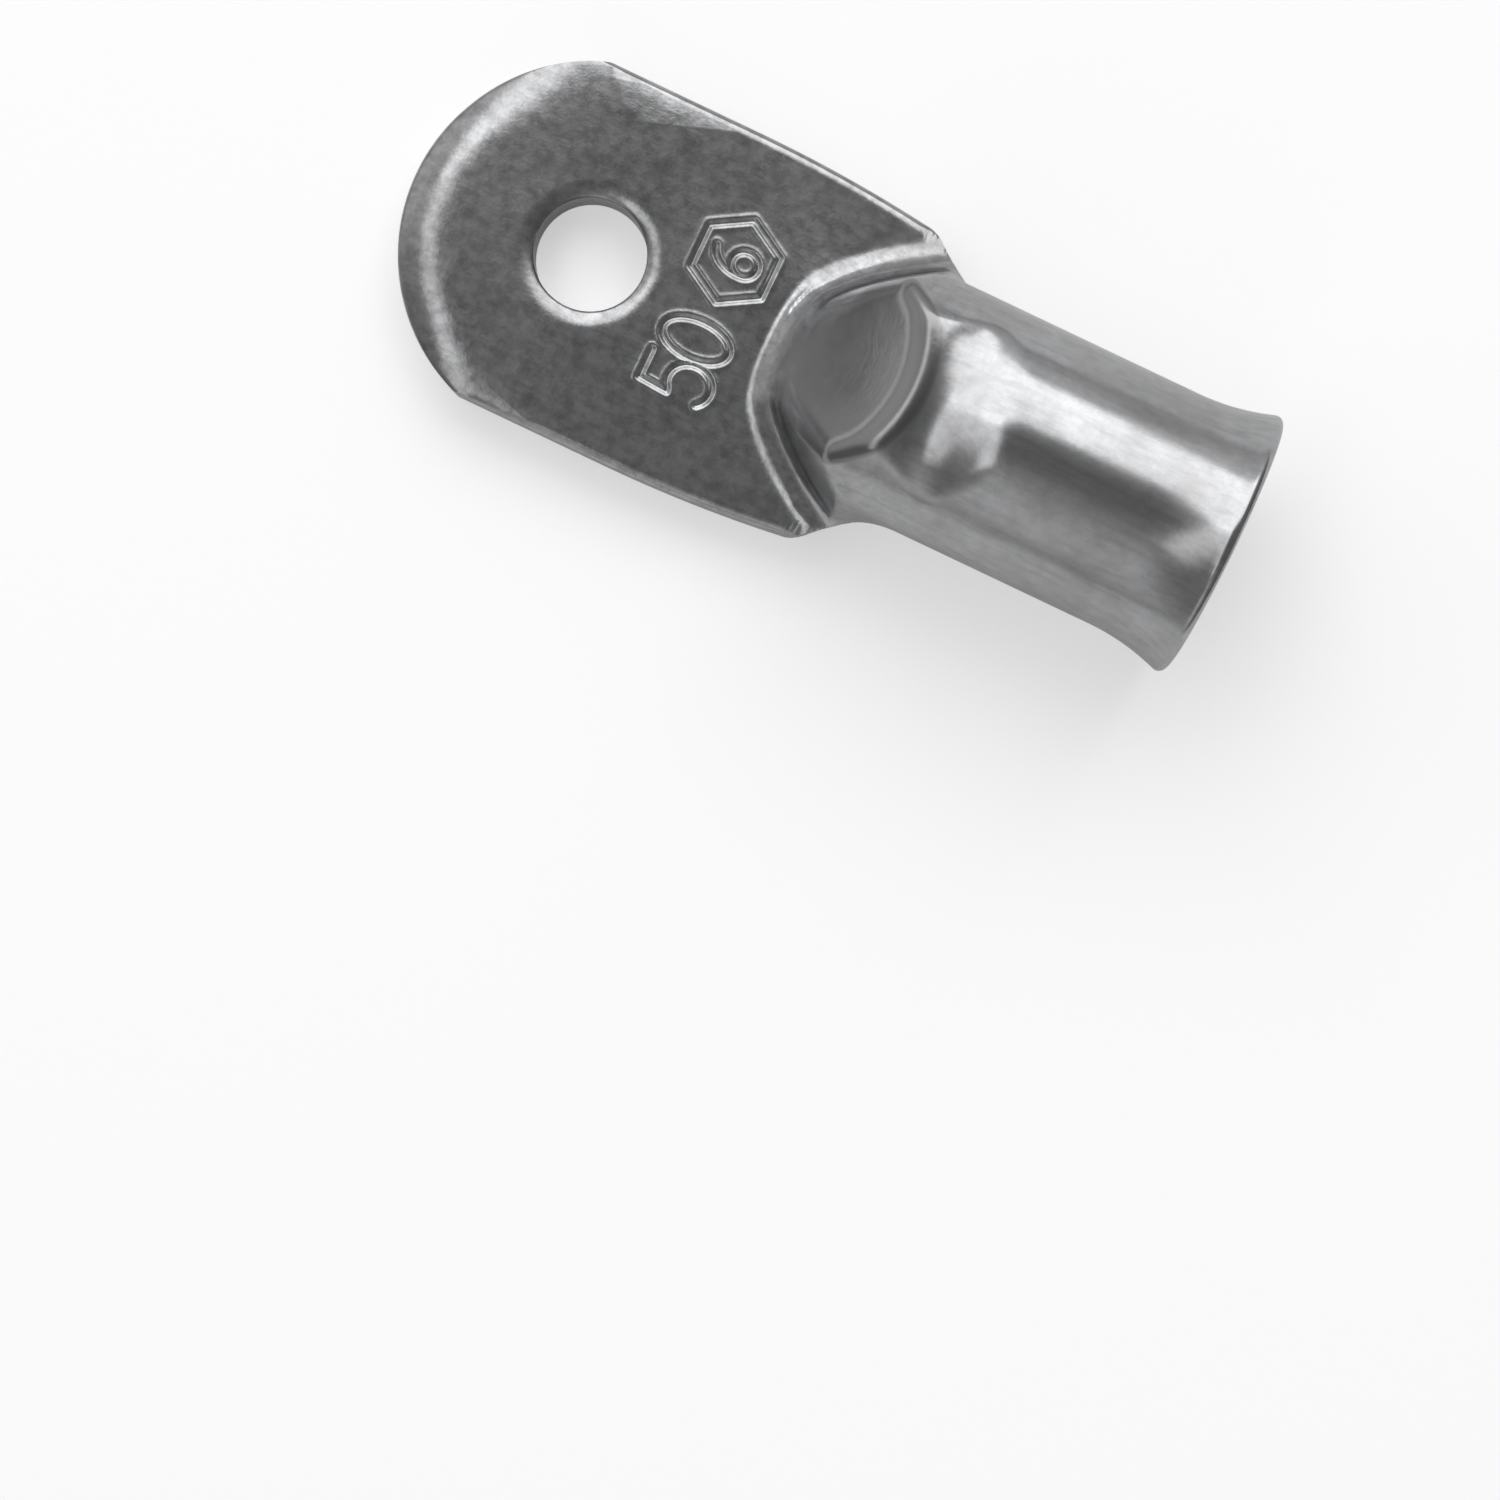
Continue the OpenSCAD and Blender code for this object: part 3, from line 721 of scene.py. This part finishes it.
# A wide pale floor, a grey studio around it and two softboxes
studio = {
    "floorR": 1.6,
    "floorColour": (0.95, 0.95, 0.95),
    "floorRoughness": 0.9,
    "floorShine": 0.1,
    "floorGlow": 0.46,   # the floor's own light as the camera sees it, and through clear things
    "floorGloss": 0.08,  # and as the metal reflects it
    # Brightness of the studio by height, from the floor, 0, to straight up, 1
    "sky": [(0.0, 0.30), (0.25, 0.50), (0.6, 0.62), (0.86, 0.36), (0.95, 0.2), (0.985, 0.16),
            (1.0, 0.145)],
    # Towards the mouth's side the studio falls off: from and to this far along X
    "darkSide": (0.08, 0.55, 1, 0.3),
    # A dark corner of the studio, which keeps the near side of the ramp's foot dull
    "cornerWay": (-0.567, -0.630, 0.530),
    "corner": (0.8, 0.96, 1, 0.35),
    # Each softbox: turn and tilt from straight up, width, height and power
    "softboxes": {
        "keySoftbox": (110, 38, 0.95, 0.70, 2.6),
        "sideSoftbox": (203, 24, 0.72, 0.25, 0.43),
    },
    "softboxAim": (0.015, 0, 0.01),
    "softboxReach": 0.9,
}


def paleFloor():
    bm = bmesh.new()
    bmesh.ops.create_circle(bm, cap_ends=True, cap_tris=False, radius=studio["floorR"], segments=64)
    floor = newPiece("floor", bm)
    material, nodes, links, shader = newMaterial("floorPaper")
    shader.inputs["Base Color"].default_value = (*studio["floorColour"], 1)
    shader.inputs["Roughness"].default_value = studio["floorRoughness"]
    shader.inputs["Specular IOR Level"].default_value = studio["floorShine"]
    shader.inputs["Emission Color"].default_value = (1, 1, 1, 1)
    path = nodes.new("ShaderNodeLightPath")
    seen = nodes.new("ShaderNodeMath")
    seen.operation = "MAXIMUM"
    links.new(path.outputs["Is Camera Ray"], seen.inputs[0])
    links.new(path.outputs["Is Transmission Ray"], seen.inputs[1])
    gloss = mapRange(nodes, links, path.outputs["Is Glossy Ray"], 0, 1, 0, studio["floorGloss"])
    glow = nodes.new("ShaderNodeMath")
    glow.operation = "MULTIPLY_ADD"
    glow.inputs[1].default_value = studio["floorGlow"]
    links.new(seen.outputs[0], glow.inputs[0])
    links.new(gloss, glow.inputs[2])
    links.new(glow.outputs[0], shader.inputs["Emission Strength"])
    floor.data.materials.append(material)


# A plain grey studio, darker overhead, where the camera looks down
def studioSky():
    world = bpy.data.worlds.new("studio")
    scene.world = world
    world.use_nodes = True
    nodes, links = world.node_tree.nodes, world.node_tree.links
    coords = nodes.new("ShaderNodeTexCoord")
    split = nodes.new("ShaderNodeSeparateXYZ")
    links.new(coords.outputs["Generated"], split.inputs[0])
    ramp = nodes.new("ShaderNodeValToRGB")
    stops = ramp.color_ramp.elements
    while len(stops) < len(studio["sky"]):
        stops.new(0.5)
    for stop, (height, level) in zip(stops, studio["sky"]):
        stop.position = height
        stop.color = (level, level, level, 1)
    links.new(split.outputs["Z"], ramp.inputs["Fac"])
    links.new(ramp.outputs["Color"], nodes["Background"].inputs["Color"])
    side = mapRange(nodes, links, split.outputs["X"], *studio["darkSide"])
    facing = nodes.new("ShaderNodeVectorMath")
    facing.operation = "DOT_PRODUCT"
    facing.inputs[1].default_value = studio["cornerWay"]
    links.new(coords.outputs["Generated"], facing.inputs[0])
    corner = mapRange(nodes, links, facing.outputs["Value"], *studio["corner"])
    both = nodes.new("ShaderNodeMath")
    both.operation = "MULTIPLY"
    links.new(side, both.inputs[0])
    links.new(corner, both.inputs[1])
    links.new(both.outputs[0], nodes["Background"].inputs["Strength"])


# A softbox that faces the lug: its direction is turned and tilted from straight up
def softbox(name, turn, tilt, width, height, power):
    light = bpy.data.lights.new(name, "AREA")
    light.shape = "RECTANGLE"
    light.size = width
    light.size_y = height
    light.energy = power
    lamp = bpy.data.objects.new(name, light)
    turned = Matrix.Rotation(math.radians(turn), 3, "Z") @ Matrix.Rotation(math.radians(tilt), 3, "Y")
    way = turned @ Vector((0, 0, 1))
    lamp.location = Vector(studio["softboxAim"]) + way * studio["softboxReach"]
    lamp.rotation_euler = way.to_track_quat("Z", "Y").to_euler()
    scene.collection.objects.link(lamp)


paleFloor()
studioSky()
for name, values in studio["softboxes"].items():
    softbox(name, *values)
print("stage: floor, studio and softboxes")


# The camera looks straight down, turned so that the lug lies as in the picture
view = {
    "place": (0.02125, -0.02257, 0.245),
    "turn": 25.4,
    "width": 0.0906,     # what the frame takes in at the floor
    "near": 0.01,
    "far": 10,
}


def lookDown():
    camera = bpy.data.cameras.new("camera")
    camera.sensor_fit = "HORIZONTAL"
    camera.angle = 2 * math.atan(view["width"] / 2 / view["place"][2])
    camera.clip_start = view["near"]
    camera.clip_end = view["far"]
    eye = bpy.data.objects.new("camera", camera)
    eye.location = view["place"]
    eye.rotation_euler = (0, 0, math.radians(view["turn"]))
    scene.collection.objects.link(eye)
    scene.camera = eye


lookDown()
scene.view_settings.view_transform = "Standard"
